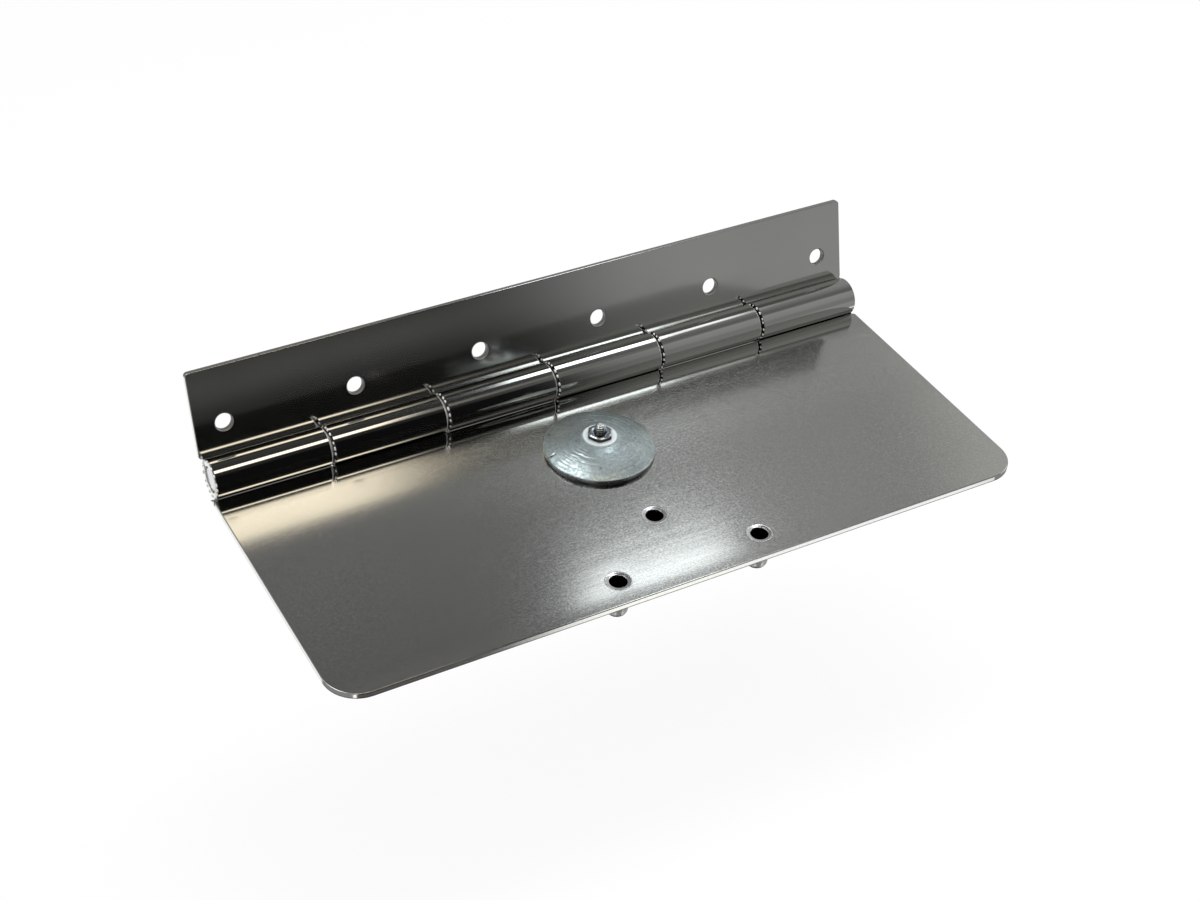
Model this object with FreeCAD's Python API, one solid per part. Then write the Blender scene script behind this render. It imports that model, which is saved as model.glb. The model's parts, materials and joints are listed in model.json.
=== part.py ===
"""Boat trim tab: a transom leaf and a trim plane on one rolled hinge, with a sacrificial anode.

Millimetres. X runs along the hinge to starboard, Y forward to the boat, Z up. The origin is on
the back face of the transom leaf, at the middle of its row of screw holes.
"""
import FreeCAD
import Part
import math
import os

from FreeCAD import Vector

# Sheet leaves
span = 304.8
sheet = 2.66
transom_reach = 43.7
tab_reach = 128.8
transom_corner = 1.6
tab_corner = 14.0
hinge_side_corner = 1.2
edge_round = 0.4
tab_droop = 14.0

# Hinge: reaches are measured from the pin's centre line
pin_diameter = 11.1
pin_clearance = 0.05
pin_recess = 0.5
pin_chamfer = 0.8
knuckle_count = 6
knuckle_gap = 1.2
knuckle_chamfer = 0.4
barrel_recess = 1.4
leaf_clearance = 0.4
seam_gap = 0.35

# Screw holes in the transom leaf
hole_row_height = 19.8
hole_count = 6
hole_end_margin = 12.4
hole_diameter = 7.2
hole_deburr = 0.35

# Anode and its fastener
anode_along = 43.5
anode_diameter = 46.0
anode_rim = 2.4
anode_height = 6.9
anode_land = 16.0
anode_edge_soft = 0.35
anode_foot_soft = 0.4
anode_crown = 0.045
anode_bore_flare = 0.5
washer_diameter = 14.2
washer_thickness = 0.8
washer_edge_soft = 0.2
nut_across_flats = 9.53
nut_height = 1.9
nut_top_diameter = 8.6
nut_chamfer_slope = 30.0
nut_dish_diameter = 7.2
nut_dish_depth = 0.35
screw_diameter = 4.83
screw_above_washer = 5.4
screw_tip_chamfer = 0.7
screw_head_diameter = 9.6
screw_head_height = 2.7
screw_head_round = 1.3
thread_clearance = 0.03
thread_lead_in = 0.3
screw_hole_clearance = 0.3

# Blind threaded inserts for the actuator's foot
insert_edge_margin = 12.4
insert_row_step = 27.4
insert_aft_spacing = 63.6
insert_barrel_diameter = 9.0
insert_head_diameter = 10.6
insert_mouth_diameter = 10.2
insert_dish_diameter = 8.0
insert_dish_depth = 0.25
insert_thread_bore = 5.0
insert_thread_start = 1.9
insert_thread_length = 10.9
insert_depth = 16.2
insert_end_round = 2.4
insert_bulge_diameter = 11.4
insert_bulge_height = 2.4
insert_clearance = 0.05

# Sizes that follow from the ones above
pin_radius = pin_diameter / 2
eye_radius = pin_radius + pin_clearance
barrel_radius = eye_radius + sheet
knuckle_pitch = span / knuckle_count
hole_pitch = (span - 2 * hole_end_margin) / (hole_count - 1)
barrel_half = span / 2 - barrel_recess
leaf_edge = math.sqrt((barrel_radius + leaf_clearance) ** 2 - eye_radius ** 2)
screw_hole_radius = screw_diameter / 2 + screw_hole_clearance
washer_base = anode_height
nut_base = washer_base + washer_thickness

X_AXIS = Vector(1, 0, 0)
Z_AXIS = Vector(0, 0, 1)
CENTRE = Vector(0, 0, 0)


def revolved(*points):
    """Solid of revolution about Z from a closed outline of (radius, height) points."""
    corners = [Vector(radius, 0, height) for radius, height in points + points[:1]]
    return Part.Face(Part.makePolygon(corners)).revolve(CENTRE, Z_AXIS, 360)


def rounded(radius, height, size):
    """Outline points that take an outer corner off in two cuts close to a quarter round.

    The outline comes up the side at this radius and goes on inward at this height; a negative
    size is for a corner at the bottom, where the outline comes outward and goes on up.
    """
    step = abs(size) * (1 - math.sqrt(0.5))
    points = [(radius, height - size), (radius - step, height - math.copysign(step, size)),
              (radius - abs(size), height)]
    return points if size > 0 else points[::-1]


def along_x(shape):
    """Turns a shape made about Z so that its axis lies along X."""
    shape.rotate(CENTRE, Vector(0, 1, 0), 90)
    return shape


def chamfered_rod(radius, half_length, chamfer):
    """Round rod centred on the origin, along X, with both ends chamfered."""
    inner = radius - chamfer
    return along_x(revolved(
        (0, -half_length), (inner, -half_length), (radius, -half_length + chamfer),
        (radius, half_length - chamfer), (inner, half_length), (0, half_length)))


def sheet_plate(reach, corner):
    """Flat part of a leaf: back face at +Y, rounded free corners, every edge broken."""
    height = reach - leaf_edge
    plate = Part.makeBox(span, sheet, height, Vector(-span / 2, eye_radius, leaf_edge))
    upright = [e for e in plate.Edges if abs(e.tangentAt(e.FirstParameter).y) > 0.99]
    free = [e for e in upright if e.CenterOfMass.z > leaf_edge + height / 2]
    hinge_side = [e for e in upright if e.CenterOfMass.z < leaf_edge + height / 2]
    plate = plate.makeFillet(corner, free)
    hinge_side = [e for e in plate.Edges
                  if any((e.CenterOfMass - old.CenterOfMass).Length < 0.01 for old in hinge_side)]
    plate = plate.makeFillet(hinge_side_corner, hinge_side)
    faces = (eye_radius, barrel_radius)
    outline = [e for e in plate.Edges
               if any(abs(e.BoundBox.YMin - y) < 1e-4 and abs(e.BoundBox.YMax - y) < 1e-4 for y in faces)]
    return plate.makeFillet(edge_round, outline)


def knuckle(left, right):
    """One rolled eye from x = left to right, with the strip of sheet that carries it."""
    middle, half = (left + right) / 2, (right - left) / 2
    tube = chamfered_rod(barrel_radius, half, knuckle_chamfer)
    tube = tube.cut(Part.makeCylinder(eye_radius, 2 * half, Vector(-half, 0, 0), X_AXIS))
    # The roll stops short of the sheet's front face and leaves a seam there
    seam = math.acos((eye_radius - seam_gap) / barrel_radius)
    far = 2 * barrel_radius
    corners = [Vector(-half, 0, 0), Vector(-half, far, 0), Vector(-half, far, far),
               Vector(-half, far * math.cos(seam), far * math.sin(seam)), Vector(-half, 0, 0)]
    wedge = Part.Face(Part.makePolygon(corners)).extrude(Vector(2 * half, 0, 0))
    strip_top = leaf_edge + 2 * edge_round + hinge_side_corner
    strip = Part.makeBox(2 * half, sheet, strip_top, Vector(-half, eye_radius, 0))
    eye = tube.cut(wedge).fuse(strip)
    eye.translate(Vector(middle, 0, 0))
    return eye


def rolled_leaf(reach, corner):
    """Leaf about a hinge axis at the origin, standing up +Z, with every other knuckle from -X."""
    leaf = sheet_plate(reach, corner)
    for i in range(0, knuckle_count, 2):
        left = -span / 2 + i * knuckle_pitch
        right = left + knuckle_pitch
        left = max(left + knuckle_gap / 2, -barrel_half)
        right = min(right - knuckle_gap / 2, barrel_half)
        leaf = leaf.fuse(knuckle(left, right))
    return leaf.removeSplitter()


def on_boat(shape):
    """Moves a shape made about the hinge axis to its place below the row of holes."""
    shape.translate(Vector(0, -barrel_radius, -hole_row_height))
    return shape


def on_tab(shape):
    """Moves a shape made on a level tab, about the hinge axis, to the drooping tab."""
    shape.rotate(CENTRE, X_AXIS, tab_droop)
    return on_boat(shape)


def at(shape, x, along):
    """Sets a shape made about Z, with its zero on the tab's top face, at a place on the level tab."""
    shape.translate(Vector(x, -along, -eye_radius))
    return shape


def insert_places():
    """Where the three inserts are on the tab: (name, x, distance aft of the pin)."""
    half, aft = insert_aft_spacing / 2, tab_reach - insert_edge_margin
    return [("insert_forward", 0, aft - insert_row_step),
            ("insert_port", -half, aft),
            ("insert_starboard", half, aft)]


def make_transom_leaf():
    leaf = rolled_leaf(transom_reach, transom_corner)
    radius = hole_diameter / 2
    front, back = eye_radius, barrel_radius
    drill = revolved(
        (0, -front + 1), (radius + hole_deburr + 1, -front + 1), (radius, -front - hole_deburr),
        (radius, -back - 1), (0, -back - 1))
    drill.rotate(CENTRE, X_AXIS, 90)
    for i in range(hole_count):
        hole = drill.copy()
        hole.translate(Vector((i - (hole_count - 1) / 2) * hole_pitch, 0, hole_row_height))
        leaf = leaf.cut(hole)
    return on_boat(leaf)


def make_trim_plane():
    leaf = rolled_leaf(tab_reach, tab_corner)
    # Turned end for end and laid down aft, its knuckles fall between the transom leaf's
    leaf.rotate(CENTRE, Vector(0, 1, -1), 180)
    screw_hole = Part.makeCylinder(screw_hole_radius, 2 * sheet, Vector(0, 0, -1.5 * sheet))
    leaf = leaf.cut(at(screw_hole, 0, anode_along))
    radius = insert_barrel_diameter / 2 + insert_clearance
    mouth = insert_head_diameter / 2 + insert_clearance * math.sqrt(2)
    seat = revolved((0, 1), (mouth + 1, 1), (radius, radius - mouth), (radius, -2 * sheet), (0, -2 * sheet))
    for _, x, along in insert_places():
        leaf = leaf.cut(at(seat.copy(), x, along))
    return on_tab(leaf)


def make_hinge_pin():
    return on_boat(chamfered_rod(pin_radius, barrel_half - pin_recess, pin_chamfer))


def make_anode():
    """Zinc disc: low upright rim, domed top, flat land for the washer, flared bore."""
    rim, land, bore = anode_diameter / 2, anode_land / 2, screw_hole_radius
    flare, soft = anode_bore_flare, anode_edge_soft
    outline = [Vector(radius, 0, height) for radius, height in [
        (land, anode_height), (bore + flare, anode_height), (bore, anode_height - flare), (bore, 0),
        *rounded(rim, 0, -anode_foot_soft), (rim, anode_rim - soft), (rim - soft, anode_rim)]]
    chord = outline[0] - outline[-1]
    crown = outline[-1] + chord / 2 + Vector(-chord.z, 0, chord.x) * -anode_crown
    edges = Part.makePolygon(outline).Edges + [Part.Arc(outline[-1], crown, outline[0]).toShape()]
    return on_tab(at(Part.Face(Part.Wire(edges)).revolve(CENTRE, Z_AXIS, 360), 0, anode_along))


def make_anode_washer():
    radius, bore, top = washer_diameter / 2, screw_hole_radius, nut_base
    body = revolved(
        (bore, washer_base), (radius, washer_base), (radius, top - washer_edge_soft),
        (radius - washer_edge_soft, top), (bore, top))
    return on_tab(at(body, 0, anode_along))


def make_anode_nut():
    """Hexagon nut with two corners in line with the hinge, chamfered, its top dished round the thread."""
    corner, flat = nut_across_flats / math.sqrt(3), nut_across_flats / 2
    top = nut_base + nut_height
    turns = [math.radians(60 * i) for i in range(7)]
    hexagon = Part.makePolygon([Vector(corner * math.cos(a), corner * math.sin(a), nut_base) for a in turns])
    nut = Part.Face(hexagon).extrude(Vector(0, 0, nut_height))
    upper = nut_top_diameter / 2
    slope = math.tan(math.radians(nut_chamfer_slope))
    nut = nut.common(revolved(
        (0, nut_base), (flat, nut_base), (corner, nut_base + (corner - flat) * slope),
        (corner, top - (corner - upper) * slope), (upper, top), (0, top)))
    bore, dish = screw_diameter / 2 + thread_clearance, nut_dish_diameter / 2
    dish_floor = top - nut_dish_depth
    nut = nut.cut(revolved(
        (0, nut_base - 1), (bore, nut_base - 1), (bore, dish_floor - thread_lead_in),
        (bore + thread_lead_in, dish_floor), (dish - nut_dish_depth, dish_floor),
        (dish + 1, top + 1), (0, top + 1)))
    return on_tab(at(nut, 0, anode_along))


def make_anode_screw():
    """Machine screw with a pan head under the tab."""
    shank, head, tip = screw_diameter / 2, screw_head_diameter / 2, screw_tip_chamfer
    seat, top = -sheet, nut_base + screw_above_washer
    body = revolved(
        (0, seat - screw_head_height), *rounded(head, seat - screw_head_height, -screw_head_round),
        (head, seat), (shank, seat), (shank, top - tip), (shank - tip, top), (0, top))
    return on_tab(at(body, 0, anode_along))


def make_insert(x, along):
    """Blind rivet nut set in the sheet: flush head, dished mouth, bulge below, threaded barrel."""
    barrel, head, bulge = insert_barrel_diameter / 2, insert_head_diameter / 2, insert_bulge_diameter / 2
    mouth, dish, bore = insert_mouth_diameter / 2, insert_dish_diameter / 2, insert_thread_bore / 2
    thread_low = -insert_thread_start - insert_thread_length
    body = revolved(
        (0, thread_low - bore / 2), (bore, thread_low), (bore, -insert_thread_start),
        (dish, -insert_dish_depth), (mouth, 0), (head, 0),
        (barrel, barrel - head), (barrel, -sheet),
        (bulge, -sheet), (bulge, -sheet - insert_bulge_height / 2), (barrel, -sheet - insert_bulge_height),
        *rounded(barrel, -insert_depth, -insert_end_round)[::-1], (0, -insert_depth))
    return on_tab(at(body, x, along))


def make_parts():
    """Every sub-part by name, in the place it has on the finished trim tab."""
    parts = {
        "transom_leaf": make_transom_leaf(),
        "trim_plane": make_trim_plane(),
        "hinge_pin": make_hinge_pin(),
        "anode": make_anode(),
        "anode_washer": make_anode_washer(),
        "anode_nut": make_anode_nut(),
        "anode_screw": make_anode_screw(),
    }
    for name, x, along in insert_places():
        parts[name] = make_insert(x, along)
    return parts


if __name__ == "__main__":
    os.makedirs("parts", exist_ok=True)
    for name, shape in make_parts().items():
        shape.exportStep(f"parts/{name}.step")
        print(f"{name}: {len(shape.Solids)} solid, {shape.Volume / 1000:.2f} cm3, valid {shape.isValid()}")
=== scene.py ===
# %% [markdown]
# # A boat trim tab in a photographer's corner
#
# The part is two bright steel leaves on one rolled hinge. A zinc disc, the sacrificial anode, is
# bolted to the large leaf, and three blind threaded inserts wait for the actuator's foot. Polished
# steel has hardly any colour of its own: what we see is the room. So most of this lesson is about
# building a believable room, and the rest adds the small marks that tell real metal from a mirror.

# %% Load the frame
import json
import math

import bmesh
import bpy
import numpy as np
from mathutils import Euler, Matrix, Vector, noise


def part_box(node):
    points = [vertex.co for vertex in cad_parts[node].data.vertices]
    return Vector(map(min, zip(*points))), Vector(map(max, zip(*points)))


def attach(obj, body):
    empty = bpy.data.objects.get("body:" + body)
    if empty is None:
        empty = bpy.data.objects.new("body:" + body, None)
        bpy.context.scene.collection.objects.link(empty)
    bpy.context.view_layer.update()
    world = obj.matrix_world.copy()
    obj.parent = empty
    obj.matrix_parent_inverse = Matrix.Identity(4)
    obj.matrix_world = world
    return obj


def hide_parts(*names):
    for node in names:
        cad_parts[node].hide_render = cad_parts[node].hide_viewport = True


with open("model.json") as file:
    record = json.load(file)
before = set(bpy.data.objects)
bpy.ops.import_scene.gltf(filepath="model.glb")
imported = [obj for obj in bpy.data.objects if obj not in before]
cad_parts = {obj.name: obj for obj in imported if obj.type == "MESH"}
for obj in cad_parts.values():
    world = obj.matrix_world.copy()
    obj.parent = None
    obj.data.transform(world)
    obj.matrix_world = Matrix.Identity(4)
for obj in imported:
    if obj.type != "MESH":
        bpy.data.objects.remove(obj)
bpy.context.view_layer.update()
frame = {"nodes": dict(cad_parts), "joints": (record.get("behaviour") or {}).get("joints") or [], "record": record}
nodes = frame["nodes"]
mounts = {mount["name"]: mount for mount in frame["record"]["mounts"]}
print("solids from the CAD model:", ", ".join(sorted(nodes)))

# %% [markdown]
# ## Sizes read from the frame
#
# The scene never repeats a dimension that the frame gives. The hinge line comes from the joint, the
# barrel's radius from how far that line lies behind the transom face, the tab's slope from the axis
# of a threaded insert and the holes' pitch from their mount. The few sizes of the hinge that the
# frame doesn't give are named here once.

# %% Sizes
MM = 0.001
hinge = Vector(frame["joints"][0]["pos_m"])
barrel_radius = -hinge.y
insert_places = {name: Vector(mounts[f"actuator_thread_{name}"]["pos_m"])
                 for name in ("forward", "port", "starboard")}
tab_up = Vector(mounts["actuator_thread_forward"]["axis"]).normalized()
tab_droop = math.atan2(-tab_up.y, tab_up.z)
half_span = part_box("transom_leaf")[1].x
hole_pitch = mounts["transom_screws_inner"]["dims"]["spacing_x_mm"] * MM
knuckle_count = 6
knuckle_pitch = 2 * half_span / knuckle_count
knuckle_gap = 1.2 * MM
barrel_recess = 1.4 * MM
sheet = 2.66 * MM
eye_radius = barrel_radius - sheet
tab_turn = Matrix.Rotation(tab_droop, 4, "X")
tab_frame = Matrix.Translation(hinge) @ tab_turn @ Matrix.Translation((0, 0, -eye_radius))
print(f"barrel radius {barrel_radius / MM:.2f} mm, tab droops {math.degrees(tab_droop):.1f} degrees")


def on_tab(x, along, height=0.0):
    """A place on the tab's top face: x along the hinge, then distance aft of it and height above."""
    return tab_frame @ Vector((x, -along, height))


# %% [markdown]
# ## The camera
#
# The camera stands where the photographer stood: to port of the tab and astern, looking down over the
# trailing edge. Position, turn and lens were found by matching the leaves' corners, the screw holes
# and the gaps between the hinge knuckles. Setting it by eye would be quicker, but every reflection
# depends on the place of the eye, so a measured camera comes first.

# %% Camera
camera_place = Vector((-335.7, -716.1, 335.2)) * MM
camera_turn = Euler([math.radians(a) for a in (63.50, 4.04, -28.76)])
camera_data = bpy.data.cameras.new("camera")
camera_data.lens = 60.98
camera_data.sensor_width = 36.0
camera_data.clip_end = 100.0
camera = bpy.data.objects.new("camera", camera_data)
camera.location = camera_place
camera.rotation_euler = camera_turn
bpy.context.scene.collection.objects.link(camera)
bpy.context.scene.camera = camera
bpy.context.scene.view_settings.view_transform = "Standard"
print("camera", [round(v, 3) for v in camera.location], "lens", round(camera_data.lens, 2))

# %% [markdown]
# ## Small helpers
#
# Every material here is a node tree, and node trees read best when each line adds one thing. `Tree`
# keeps a list of nodes, joins sockets by name and sets plain values on the sockets themselves.

# %% Node helpers
white = (1.0, 1.0, 1.0)


class Tree:
    """Adds nodes to a tree, one short line for each."""

    def __init__(self, tree):
        self.tree = tree

    def add(self, kind, **settings):
        """A node of this kind; settings are its own properties, such as operation."""
        node = self.tree.nodes.new(kind)
        for name, value in settings.items():
            setattr(node, name, value)
        return node

    def feed(self, node, socket, source):
        """Joins a source socket to an input, or sets the input's own value. Colours are opaque."""
        target = node.inputs[socket]
        if isinstance(source, bpy.types.NodeSocket):
            self.tree.links.new(source, target)
        elif target.type == "RGBA":
            target.default_value = (*source, 1.0)
        else:
            target.default_value = source

    def feed_all(self, node, sources):
        """Feeds several inputs, given as a dict of socket and source."""
        for socket, source in sources.items():
            self.feed(node, socket, source)

    def use(self, group, sources=None):
        """Places a node group with these inputs and gives its outputs."""
        node = self.add("ShaderNodeGroup", node_tree=group)
        self.feed_all(node, sources or {})
        return node.outputs

    def math(self, operation, first, second=0.0, third=0.0):
        """A sum or function of up to three values."""
        node = self.add("ShaderNodeMath", operation=operation)
        self.feed_all(node, {0: first, 1: second, 2: third})
        return node.outputs[0]

    def vector(self, operation, first, second=(0.0, 0.0, 0.0)):
        """A vector sum, or a value where the operation is a length, a distance or a dot product."""
        node = self.add("ShaderNodeVectorMath", operation=operation)
        self.feed_all(node, {0: first, 1: second})
        gives_value = operation in ("LENGTH", "DISTANCE", "DOT_PRODUCT")
        return node.outputs["Value" if gives_value else "Vector"]

    def split(self, vector):
        """The X, Y and Z of a vector."""
        node = self.add("ShaderNodeSeparateXYZ")
        self.feed(node, 0, vector)
        return node.outputs

    def place(self):
        """The shaded point in the object's own metres."""
        return self.add("ShaderNodeTexCoord").outputs["Object"]

    def ease(self, value, start, end, low=0.0, high=1.0):
        """A soft step: low before start, high after end."""
        node = self.add("ShaderNodeMapRange", interpolation_type="SMOOTHSTEP")
        self.feed_all(node, {"Value": value, "From Min": start, "From Max": end})
        self.feed_all(node, {"To Min": low, "To Max": high})
        return node.outputs["Result"]

    def fade(self, value, start, end):
        """A soft step down: 1 before start, 0 after end."""
        return self.ease(value, start, end, 1.0, 0.0)

    def ramp(self, value, stops):
        """A colour ramp through (position, grey or colour) stops."""
        node = self.add("ShaderNodeValToRGB")
        elements = node.color_ramp.elements
        while len(elements) < len(stops):
            elements.new(1.0)
        for element, (place, colour) in zip(elements, stops):
            element.position = place
            element.color = (*colour, 1.0) if isinstance(colour, tuple) else (colour, colour, colour, 1.0)
        self.feed(node, "Fac", value)
        return node.outputs["Color"]

    def mix(self, factor, first, second, blend="MIX"):
        """A blend of two colours; the numbers are the colour sockets of the Mix node."""
        node = self.add("ShaderNodeMix", data_type="RGBA", blend_type=blend)
        self.feed_all(node, {0: factor, 6: first, 7: second})
        return node.outputs[2]

    def bump(self, height):
        """The normal of a relief, from its height in micrometres."""
        node = self.add("ShaderNodeBump")
        self.feed_all(node, {"Strength": 1.0, "Distance": 0.001 * MM, "Height": height})
        return node.outputs["Normal"]

    def shader(self, kind, sources):
        """A shader with these inputs."""
        node = self.add(kind)
        self.feed_all(node, sources)
        return node.outputs[0]

    def surface(self, shader):
        """Makes this shader the material's surface."""
        self.feed(self.add("ShaderNodeOutputMaterial"), "Surface", shader)


def new_material(name):
    """An empty node material and its tree."""
    material = bpy.data.materials.new(name)
    material.use_nodes = True
    material.node_tree.nodes.clear()
    return material, Tree(material.node_tree)


def group_with(name, inputs, outputs):
    """A shader node group with float sockets, inputs with defaults: group, tree, inputs, output node."""
    group = bpy.data.node_groups.new(name, "ShaderNodeTree")
    for label, default in inputs.items():
        socket = group.interface.new_socket(name=label, in_out="INPUT", socket_type="NodeSocketFloat")
        socket.default_value = default
    for label in outputs:
        group.interface.new_socket(name=label, in_out="OUTPUT", socket_type="NodeSocketFloat")
    t = Tree(group)
    return group, t, t.add("NodeGroupInput").outputs, t.add("NodeGroupOutput")


def mesh_from(name, vertices, faces):
    """A mesh of these points and faces."""
    mesh = bpy.data.meshes.new(name)
    mesh.from_pydata(vertices, [], faces)
    return mesh


print("helpers ready")

# %% [markdown]
# ## The room
#
# A mirror-bright part shows its surroundings, so the surroundings are designed like everything else.
# The photographer worked in a dim hall with a warm ceiling panel, one long white lamp and a grey
# wall. A huge sphere carries that room. Only glossy rays see it, so it lends the metal its
# reflections and leaves the white background alone.
#
# Two numbers place anything on the sphere. One is the turn round the hinge's direction, counted from
# straight forward, up and over to astern. The other is how far the direction leans along the hinge.
# Lamps, cards and shades are panels with soft edges in these two numbers, all from one node group.

# %% A soft-edged panel of light, as a node group


def build_panel_group():
    """Mask of a soft-edged panel: inside it is 1. All its edges are given in the room's two numbers."""
    group, t, given, out = group_with(
        "soft_panel",
        {"Turn": 0.0, "Lean": 0.0, "Turn From": 0.0, "Turn To": 0.1, "Turn Edge": 0.01,
         "Lean From": 0.0, "Lean To": 0.1, "Lean Edge": 0.01},
        ["Mask"])
    mask = 1.0
    for axis in ("Turn", "Lean"):
        edge = given[f"{axis} Edge"]
        for side, low, high in (("From", 0.0, 1.0), ("To", 1.0, 0.0)):
            limit = given[f"{axis} {side}"]
            before, after = t.math("SUBTRACT", limit, edge), t.math("ADD", limit, edge)
            mask = t.math("MULTIPLY", mask, t.ease(given[axis], before, after, low, high))
    t.feed(out, "Mask", mask)
    return group


soft_panel = build_panel_group()
print("node group", soft_panel.name, "with", len(soft_panel.nodes), "nodes")

# %% [markdown]
# ## What stands in the room
#
# Two colour ramps hold the room's brightness round the turn. One is for directions that lean little,
# which the camera finds in the port end of the part. The other is for those that lean more, and shows
# in its starboard end. The panels lie over them. Most stand on both sides of the room, since the
# camera finds only one side of it.

# %% Brightness and panels
# Brightness round the room: (turn in degrees, level)
room_port = [
    (0, 0.20), (40, 0.24), (57, 0.20), (66, 0.10), (80, 0.055), (100, 0.045), (145, 0.025), (160, 0.006),
    (196, 0.006), (202.5, 0.05), (204.45, 0.05), (204.7, 0.006), (228, 0.008), (242, 0.14), (255, 0.10),
    (330, 0.10), (345, 0.20), (360, 0.20)]
room_starboard = [
    (0, 0.30), (57, 0.32), (80, 0.31), (100, 0.24), (116, 0.16), (128, 0.16), (138, 0.37), (147, 0.35),
    (165, 0.33), (176, 0.26), (194, 0.26), (204, 0.36), (240, 0.34), (300, 0.34), (360, 0.30)]
grey_wall_lean = (0.34, 0.47)
# Each panel: side, turn from and to and its edge in degrees, lean from and to and its edge, colour
panels = {
    "table_shade": ("both", 150, 201, 4, -0.20, 0.40, 0.02, (0.006, 0.006, 0.006)),
    "table_near": ("both", 205.0, 222, 0.8, -0.20, 0.405, 0.03, (0.006, 0.007, 0.006)),
    "table_light": ("both", 203.82, 204.36, 0.24, -0.20, 0.37, 0.04, (0.175, 0.175, 0.17)),
    "warm_panel": ("both", 116, 130, 3, -0.20, 0.318, 0.02, (2.8, 2.48, 2.05)),
    "warm_tail": ("both", 120, 134, 4, 0.318, 0.45, 0.03, (0.20, 0.195, 0.18)),
    "long_lamp": ("both", 62.0, 96, 2.0, 0.374, 0.444, 0.008, (4.0, 4.25, 4.4)),
    "far_lamp": ("both", 76, 91, 4, 0.450, 0.482, 0.008, (1.6, 1.62, 1.64)),
    "edge_card": ("both", 238.5, 244.5, 2, 0.41, 0.57, 0.02, (1.6, 1.6, 1.65)),
    "floor_card": ("both", 212, 258, 6, 0.35, 0.45, 0.03, (1.6, 1.6, 1.55)),
    "side_wall": ("both", 40, 80, 8, 0.55, 0.90, 0.02, (0.52, 0.52, 0.51)),
    "end_card": ("port", 305, 345, 12, 0.12, 0.36, 0.05, (1.3, 1.3, 1.3)),
    "rim_card": ("starboard", 85, 175, 10, 0.80, 1.05, 0.05, (1.6, 1.6, 1.55)),
    "port_lamp": ("port", 74, 100, 4, 0.10, 0.60, 0.05, (3.4, 3.5, 3.5)),
}
print("brightness at", len(room_port) + len(room_starboard), "turns, and", len(panels), "panels")

# %% [markdown]
# ## The room's material
#
# The room could be a picture wrapped round the scene, but a picture can't be read or corrected line
# by line. So a material works out the light from the direction, first the ramps and then each panel.

# %% Room material


def build_room_material():
    """The room's light by direction, with every panel laid over the two ramps in turn."""
    material, t = new_material("room")
    position = t.add("ShaderNodeNewGeometry").outputs["Position"]
    axes = t.split(t.vector("NORMALIZE", position))
    angle = t.math("ARCTAN2", axes["Z"], axes["Y"])
    turn = t.math("FRACT", t.math("ADD", t.math("DIVIDE", angle, 2 * math.pi), 1.0))
    lean = t.math("ABSOLUTE", axes["X"])
    leans = {"both": lean, "starboard": axes["X"], "port": t.math("MULTIPLY", axes["X"], -1.0)}
    port = t.ramp(turn, [(degrees / 360, level) for degrees, level in room_port])
    starboard = t.ramp(turn, [(degrees / 360, level) for degrees, level in room_starboard])
    light = t.mix(t.ease(lean, *grey_wall_lean), port, starboard)
    for side, low, high, edge, inner, outer, lean_edge, colour in panels.values():
        mask = t.use(soft_panel, {
            "Turn": turn, "Turn From": low / 360, "Turn To": high / 360, "Turn Edge": edge / 360,
            "Lean": leans[side], "Lean From": inner, "Lean To": outer, "Lean Edge": lean_edge})["Mask"]
        light = t.mix(mask, light, colour)
    t.surface(t.shader("ShaderNodeEmission", {"Color": light}))
    material.cycles.emission_sampling = "NONE"
    return material


room_material = build_room_material()
print("room material with", len(room_material.node_tree.nodes), "nodes")

# %% [markdown]
# ## The sphere round the part
#
# A sphere is a stack of rings of points, joined by four-sided faces. The turned parts and the small
# lumps later are made of such rings too, so one function joins them all. The sphere is large next to
# the part.

# %% Sphere
room_radius = 30.0


def stage_object(name, mesh, material):
    """Adds something that belongs to the studio and not to the part."""
    thing = bpy.data.objects.new(name, mesh)
    bpy.context.scene.collection.objects.link(thing)
    mesh.materials.append(material)
    return thing


def only_glossy(thing):
    """Hides a thing from every ray but a reflection."""
    for ray in ("camera", "diffuse", "transmission", "volume_scatter", "shadow"):
        setattr(thing, f"visible_{ray}", False)


def ring_faces(rings, around):
    """Faces that join rings of points, each with this many points around."""
    faces = []
    for j in range(rings - 1):
        for i in range(around):
            k = (i + 1) % around
            faces.append((j * around + i, j * around + k, (j + 1) * around + k, (j + 1) * around + i))
    return faces


def unit_sphere(around, up):
    """Points and faces of a sphere with a radius of one."""
    points = []
    for j in range(up + 1):
        polar = math.pi * j / up
        for i in range(around):
            turn = 2 * math.pi * i / around
            level = math.sin(polar)
            points.append(Vector((level * math.cos(turn), level * math.sin(turn), math.cos(polar))))
    return points, ring_faces(up + 1, around)


room_points, room_faces = unit_sphere(64, 32)
room_mesh = mesh_from("room", [point * room_radius for point in room_points], room_faces)
room = stage_object("room", room_mesh, room_material)
only_glossy(room)
print("room", room_radius, "m away in every direction")

# %% [markdown]
# ## White background and a soft lamp
#
# The background is plain white, so the world is white to the camera. For everything that scatters
# light, such as the zinc, the world is an even, plain light, and one wide lamp overhead adds the
# direction. The lamp is left out of reflections, because the room's panels are what the metal shows.

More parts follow.
